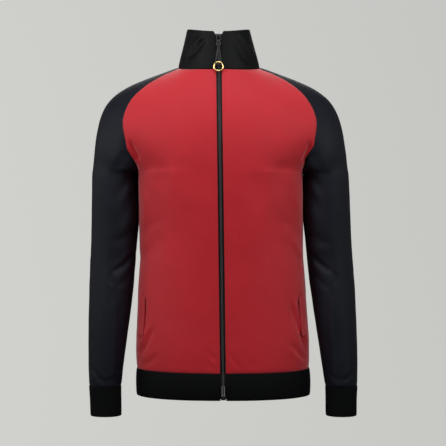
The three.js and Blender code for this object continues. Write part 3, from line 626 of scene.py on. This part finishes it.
for (node, creases), outwards in zip(SLEEVE_CREASES.items(), SLEEVE_SIDES):
    sleeve = cut_cloth(node, outwards)
    soften(sleeve)
    # the upper arm is full enough to rest against the body
    places, normals = arrays(sleeve)
    up = places[:, 2] / MM
    below_armpit = np.clip((ARMPIT_HEIGHT - up) / 8, 0, 1)
    above_elbow = np.clip((up - ELBOW_TOP_HEIGHT) / 50, 0, 1)
    facing_body = np.clip(-normals[:, 0] * outwards.x, 0, 1)
    move_out(sleeve, FULLNESS * (below_armpit * above_elbow) * facing_body)
    sew_panel(sleeve, creases, 1.0 * MM, 5.3)
    fit(sleeve, node, navy_knit)

# Cuffs
# Each cuff is a tube of close black rib, folded double at its lower edge and sewn to the sleeve a
# little stretched, so that it lies smoother than the sleeve above it.
DOUBLE_CLOTH = 2.2 * MM
black_rib = knit(
    "black_rib", (0.0017, 0.0019, 0.0021), (0.0038, 0.0042, 0.0045), 0.8, 0.06, 0.0,
    (0.8, 0.85, 1.0), wale_width=1.3 * MM,
)
CUFF_FULLNESS = 1.5 * MM


def stretch_down(band, top, share):
    """Stretches the part of a band that lies below a height downwards by a share of its length."""
    places, _ = arrays(band)
    places[:, 2] -= share * np.clip(top - places[:, 2], 0, None)
    band.data.vertices.foreach_set("co", places.ravel())
    band.data.update()


for node, outwards in zip(("cuff_left", "cuff_right"), SLEEVE_SIDES):
    cuff = cut_cloth(node, outwards)
    soften(cuff)
    stretch_down(cuff, arrays(cuff)[0][:, 2].max(), 0.05)
    move_out(cuff, np.full(len(cuff.data.vertices), CUFF_FULLNESS))
    slacken(cuff, 0.5 * MM, 1.9)
    draw_in(cuff, 0.5 * MM, 3 * MM, 0.3 * MM)
    turn_in(cuff, open_edge=(-1, -680 * MM))
    thicken(cuff, DOUBLE_CLOTH)
    fit(cuff, node, black_rib)

# Hem band
# The hem band is one strip of the same black rib, folded double, that runs round the body from one
# side of the zip to the other.
hem_band = cut_cloth("hem_band", FRONT)
soften(hem_band)
stretch_down(hem_band, -615 * MM, 0.07)
slacken(hem_band, 0.8 * MM, 4.4)
draw_in(hem_band, 0.6 * MM, 3 * MM, 0.35 * MM)
turn_in(hem_band, open_edge=(-1, -635 * MM))
thicken(hem_band, DOUBLE_CLOTH)
fit(hem_band, "hem_band", black_rib)

# Collar
# The stand collar is a strip of smooth black knit, folded double along its top edge and sewn round
# the neck. It buckles a little at each side, and its two ends part above the zip.
black_knit = knit(
    "black_knit", (0.0007, 0.0009, 0.0010), (0.0020, 0.0023, 0.0025), 0.5, 0.10, 0.0, (0.8, 0.9, 1.0)
)
collar = cut_cloth("collar", FRONT)
soften(collar)
press(
    collar,
    [
        crease(
            [(40, 64), (50, 50), (62, 34), (71, 20), (76, 4)], 2.4, -2.6, lip=-0.8, fade=(0.2, 0.3)
        ),
        crease([(-23, 54), (-41, 32), (-62, 10)], 5.5, 2.6, lip=0.5),
        crease([(-34, 58), (-50, 18)], 4, -0.8, lip=0),
        crease([(30, 44), (48, 14), (62, -2)], 6, 1.2, lip=0.2),
        crease([(-64, 40), (-70, 10)], 5, 1.0, lip=0.3),
        crease([(40, 68), (52, 34), (50, 12)], 6, 1.3, back=True),
        crease([(-30, 66), (-44, 36), (-40, 10)], 6, 1.4, back=True),
        crease([(-4, 70), (2, 42), (-2, 14)], 7, 0.8, back=True),
    ],
)
slacken(collar, 0.6 * MM, 2.2)
draw_in(collar, 0.5 * MM, 3 * MM, 0.3 * MM)
turn_in(collar, open_edge=(55 * MM, 1))
thicken(collar, DOUBLE_CLOTH)
fit(collar, "collar", black_knit)

# Zip tapes
# The two tapes are woven black polyester, sewn behind the front edges and into the collar and the
# hem band. A few millimetres of each show beside the teeth.
TAPE_CLOTH = 0.6 * MM
woven_tape = knit(
    "woven_tape", (0.004, 0.004, 0.0045), (0.011, 0.011, 0.012), 0.7, 0.15, 0.04, (1.0, 1.0, 1.0),
    wale_width=0.6 * MM,
)
for side in ("left", "right"):
    tape = cut_cloth(f"zip_tape_{side}", FRONT)
    soften(tape, 2)
    thicken(tape, TAPE_CLOTH)
    fit(tape, f"zip_tape_{side}", woven_tape)

# Zip chain
# The teeth are two rows of loops of black nylon, woven to the edges of the tapes, that lie between
# each other from the box at the hem to the slider. The slider is run up to the collar.
TOOTH_PITCH = 1.3 * MM
TOOTH_HALF = Vector((1.4, 0.6, 0.4)) * MM
TOOTH_ASIDE = 0.82 * MM
CHAIN_FOOT = -640 * MM
CHAIN_HEAD = 52 * MM
chain_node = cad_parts["zip_chain"]


def chain_face(z):
    """The point at the middle of the front of the chain at a height."""
    start = Vector((-LEAN * z, -1, z))
    return chain_node.ray_cast(start, Vector((0, 1, 0)))[1]


nylon = finish_of("black_nylon", Roughness=0.32, Specular_IOR_Level=0.6)
nylon_place = nylon.node("ShaderNodeTexCoord", output="Object")
nylon_tone = nylon.speckle(nylon_place, 9 * MM, 2)
nylon_tone.blend((0.010, 0.010, 0.011), (0.026, 0.026, 0.028)).feed("Base Color")

chain = cut_cloth("zip_chain", FRONT)
soften(chain, 1)
move_out(chain, np.full(len(chain.data.vertices), -0.5 * MM))
thicken(chain, 0.6 * MM)
rows = []
count = int((CHAIN_HEAD - CHAIN_FOOT) / TOOTH_PITCH)
for side in (-1, 1):
    bpy.ops.object.select_all(action="DESELECT")
    bpy.ops.mesh.primitive_uv_sphere_add(segments=8, ring_count=5, radius=1)
    row = bpy.context.active_object
    bpy.ops.object.mode_set(mode="EDIT")
    bpy.ops.transform.resize(value=TOOTH_HALF)
    bpy.ops.object.mode_set(mode="OBJECT")
    apply(
        row, "ARRAY", count=count, use_relative_offset=False, use_constant_offset=True,
        constant_offset_displace=(0, 0, TOOTH_PITCH),
    )
    for vert in row.data.vertices:
        number = round(vert.co.z / TOOTH_PITCH)
        centre = chain_face(CHAIN_FOOT + (number + 0.25 * side) * TOOTH_PITCH)
        vert.co.z -= number * TOOTH_PITCH
        vert.co += centre + Vector((TOOTH_ASIDE * side, 0, 0))
    rows.append(row)
select_only(chain)
for row in rows:
    row.data.polygons.foreach_set("use_smooth", [True] * len(row.data.polygons))
    row.select_set(True)
bpy.ops.object.join()
chain.name = "zip_teeth"
fit(chain, "zip_chain", nylon.material)

# Zip box and slider
# The box at the foot of the zip and the slider are die-cast and painted satin black. The slider
# stands near the top of the collar, and the bridge on its face holds the pull.
painted = finish_of("satin_black_paint", Metallic=0.35, Specular_IOR_Level=0.5)
painted_place = painted.node("ShaderNodeTexCoord", output="Object")
worn = painted.speckle(painted_place, 1.2 * MM, 3)
worn.blend((0.006, 0.006, 0.0065), (0.016, 0.016, 0.017)).feed("Base Color")
(worn * 0.2 + 0.26).feed("Roughness")


def cast(node, edge):
    """A copy of a hard part with its edges rounded."""
    part = copy_of(node, f"{node}_cast")
    bpy.ops.object.mode_set(mode="EDIT")
    bpy.ops.mesh.select_all(action="SELECT")
    bpy.ops.mesh.dissolve_limited(angle_limit=math.radians(2))
    bpy.ops.object.mode_set(mode="OBJECT")
    apply(part, "BEVEL", width=edge, segments=3, limit_method="ANGLE", angle_limit=math.radians(24))
    select_only(part)
    bpy.ops.object.shade_smooth_by_angle(angle=math.radians(35))
    return part


for node in ("zip_box", "zip_slider"):
    fit(cast(node, 0.3 * MM), node, painted.material)

# Pull tab
# The tab is stamped from 1.4 mm sheet, painted like the slider. Its slot swings on the slider's
# bridge, and the cord goes through its eye.
fit(cast("pull_tab", 0.25 * MM), "pull_tab", painted.material, body="pull")

# Pull cord
# A loop of thin black cord, two strands twisted, goes through the eye of the tab and round the ring.
# Its route is in millimetres below the hinge, in line with the tab.
HINGE = Vector((-0.7236, -69.282, 54)) * MM
PULL_TILT = -math.atan(0.19)
CORD_ROUTE = [
    (0, 0, 16.4), (-0.35, -1.6, 17.4), (-0.8, -2.3, 20.4), (-1.6, -2.2, 26), (-3.4, -2.3, 38),
    (-5.3, -2.8, 52), (-5.0, -2.3, 55.6), (-2.8, -0.8, 58), (2.8, 0.8, 58), (5.0, 2.3, 55.6),
    (5.3, 2.8, 52), (3.4, 2.3, 38), (1.6, 2.2, 26), (0.8, 2.3, 20.4), (0.35, 1.6, 17.4),
]
STRAND_RADIUS = 0.5 * MM
STRAND_OFFSET = 0.4 * MM
TWIST_LENGTH = 3.6 * MM


def smooth_loop(points, steps):
    """A closed line through the points, with this many steps from each to the next."""
    line = []
    for k in range(len(points)):
        a, b, c, d = (points[(k + n) % len(points)] for n in (-1, 0, 1, 2))
        bend = 2 * a - 5 * b + 4 * c - d
        twist = 3 * b - a - 3 * c + d
        for step in range(steps):
            t = step / steps
            line.append(0.5 * (2 * b + (c - a) * t + bend * t**2 + twist * t**3))
    return line


route = smooth_loop([Vector((x, y, -down)) * MM for x, y, down in CORD_ROUTE], 14)
lengths = [(b - a).length for a, b in zip(route, route[1:] + route[:1])]
turns = round(sum(lengths) / TWIST_LENGTH)
strands = bpy.data.curves.new("pull_cord_strands", "CURVE")
strands.dimensions = "3D"
strands.bevel_depth = STRAND_RADIUS
strands.bevel_resolution = 2
for phase in (0, math.pi):
    spline = strands.splines.new("POLY")
    spline.points.add(len(route) - 1)
    spline.use_cyclic_u = True
    run = 0
    for k, point in enumerate(route):
        ahead = (route[(k + 1) % len(route)] - route[k - 1]).normalized()
        aside = ahead.cross(Vector((0, 1, 0.3))).normalized()
        angle = phase + 2 * math.pi * turns * run / sum(lengths)
        off = aside * math.cos(angle) + ahead.cross(aside) * math.sin(angle)
        spline.points[k].co = (*(point + off * STRAND_OFFSET), 1)
        run += lengths[k]
cord = bpy.data.objects.new("pull_cord_twisted", strands)
scene.collection.objects.link(cord)
select_only(cord)
bpy.ops.object.convert(target="MESH")
cord = bpy.context.active_object
cord.location = HINGE
cord.rotation_euler = (PULL_TILT, 0, 0)
bpy.ops.object.transform_apply(location=True, rotation=True, scale=True)
bpy.ops.object.shade_smooth()
waxed = finish_of("black_cord", Roughness=0.6, Sheen_Weight=0.2)
waxed_place = waxed.node("ShaderNodeTexCoord", output="Object")
waxed_tone = waxed.speckle(waxed_place, 0.5 * MM, 2)
waxed_tone.blend((0.004, 0.004, 0.0045), (0.016, 0.016, 0.017)).feed("Base Color")
fit(cord, "pull_cord", waxed.material, body="pull")

# Pull ring
# The end of the pull is a closed ring of thick brass wire, gold in tone and polished. It hangs in the
# loop of the cord, flat to the front.
RING_RADIUS = 8.8 * MM
WIRE_RADIUS = 1.6 * MM
RING_DROP = 62.2 * MM
gold = finish_of("gold_tone", Metallic=1.0)
gold_place = gold.node("ShaderNodeTexCoord", output="Object")
rubbed = gold.speckle(gold_place, 2.5 * MM, 3)
rubbed.blend((0.74, 0.50, 0.17), (0.92, 0.72, 0.34)).feed("Base Color")
(rubbed * 0.14 + 0.16).feed("Roughness")
hang = Vector((0, math.sin(PULL_TILT), -math.cos(PULL_TILT))) * RING_DROP
bpy.ops.object.select_all(action="DESELECT")
bpy.ops.mesh.primitive_torus_add(
    major_radius=RING_RADIUS, minor_radius=WIRE_RADIUS, major_segments=72, minor_segments=18,
    location=HINGE + hang, rotation=(math.pi / 2 + PULL_TILT, 0, 0),
)
ring = bpy.context.active_object
ring.name = "pull_ring_gold"
bpy.ops.object.transform_apply(location=True, rotation=True, scale=True)
bpy.ops.object.shade_smooth()
fit(ring, "pull_ring", gold.material, body="pull")

# Studio
# A large pale bowl is floor and background, far enough below and behind to be a plain backdrop.
# It glows with painted light of its own, brighter towards -X than towards +X.
# Square soft lights stand above, in front, at both sides and behind, and the camera looks straight
# on at the middle of the jacket.
# painted light: the paper glows by emission, and the glow is brighter towards -X and dimmer towards
# +X
plain = finish_of(
    "studio_paper_painted_glow", Base_Color=(0.6, 0.6, 0.58, 1), Roughness=0.95, Specular_IOR_Level=0.1,
    Emission_Strength=0.495,
)
paper_place = plain.node("ShaderNodeTexCoord", output="Object")
paper_across = plain.node("ShaderNodeSeparateXYZ", inputs={"Vector": paper_place}, output="X")
(paper_across * 0.4 + 0.5).blend((1, 1, 0.965), (0.87, 0.88, 0.845)).feed("Emission Color")
bpy.ops.object.select_all(action="DESELECT")
bpy.ops.mesh.primitive_cylinder_add(
    vertices=96, radius=4.6, depth=6.0, end_fill_type="NGON", location=(0, 0, 1.3)
)
bowl = bpy.context.active_object
bowl.name = "studio_bowl"
bpy.ops.object.mode_set(mode="EDIT")
bpy.ops.mesh.select_all(action="DESELECT")
shape = bmesh.from_edit_mesh(bowl.data)
for face in shape.faces:
    face.select = face.normal.z > 0.9
bmesh.update_edit_mesh(bowl.data)
bpy.ops.mesh.delete(type="FACE")
bpy.ops.mesh.select_all(action="SELECT")
bpy.ops.mesh.flip_normals()
bpy.ops.object.mode_set(mode="OBJECT")
apply(bowl, "BEVEL", width=1.4, segments=12, limit_method="ANGLE", angle_limit=math.radians(60))
select_only(bowl)
bpy.ops.object.shade_smooth()
bowl.data.materials.append(plain.material)
bowl.visible_diffuse = False
bowl.visible_glossy = False
bowl.visible_shadow = False


def soft_light(name, place, aim, size, power):
    """A square soft light that points at a place."""
    lamp = bpy.data.lights.new(name, "AREA")
    lamp.size = size
    lamp.energy = power
    stand = bpy.data.objects.new(name, lamp)
    stand.location = place
    stand.rotation_euler = (Vector(aim) - Vector(place)).to_track_quat("-Z", "Y").to_euler()
    scene.collection.objects.link(stand)


soft_light("overhead", (0, -0.55, 0.9), (0, -0.05, -0.2), 0.6, 8)
soft_light("left_high", (-0.7, -1.0, 0.5), (0, 0, -0.15), 0.6, 4.8)
soft_light("right_high", (0.7, -1.0, 0.5), (0, 0, -0.15), 0.6, 5.2)
soft_light("left_front", (-1.2, -1.0, 0.2), (0, 0, -0.2), 0.6, 8.5)
soft_light("right_front", (1.2, -1.0, 0.2), (0, 0, -0.2), 0.6, 6.2)
soft_light("left_side", (-2.2, 0.2, 0.2), (0, 0, -0.3), 0.8, 8)
soft_light("right_side", (2.2, 0.2, 0.2), (0, 0, -0.3), 0.8, 3)
soft_light("behind", (0, 1.6, 1.1), (0, 0, -0.1), 1.4, 16)

world = bpy.data.worlds.new("soft_room")
world.use_nodes = True
world.node_tree.nodes["Background"].inputs["Color"].default_value = (1, 1, 0.985, 1)
world.node_tree.nodes["Background"].inputs["Strength"].default_value = 0.14
scene.world = world
scene.view_settings.view_transform = "Standard"

lens = bpy.data.cameras.new("camera")
lens.sensor_width = 36
lens.lens = 98.88
lens.clip_end = 30
camera = bpy.data.objects.new("camera", lens)
camera.location = (0.008, -2.45, -0.31)
camera.rotation_euler = (math.pi / 2, 0, 0)
scene.collection.objects.link(camera)
scene.camera = camera
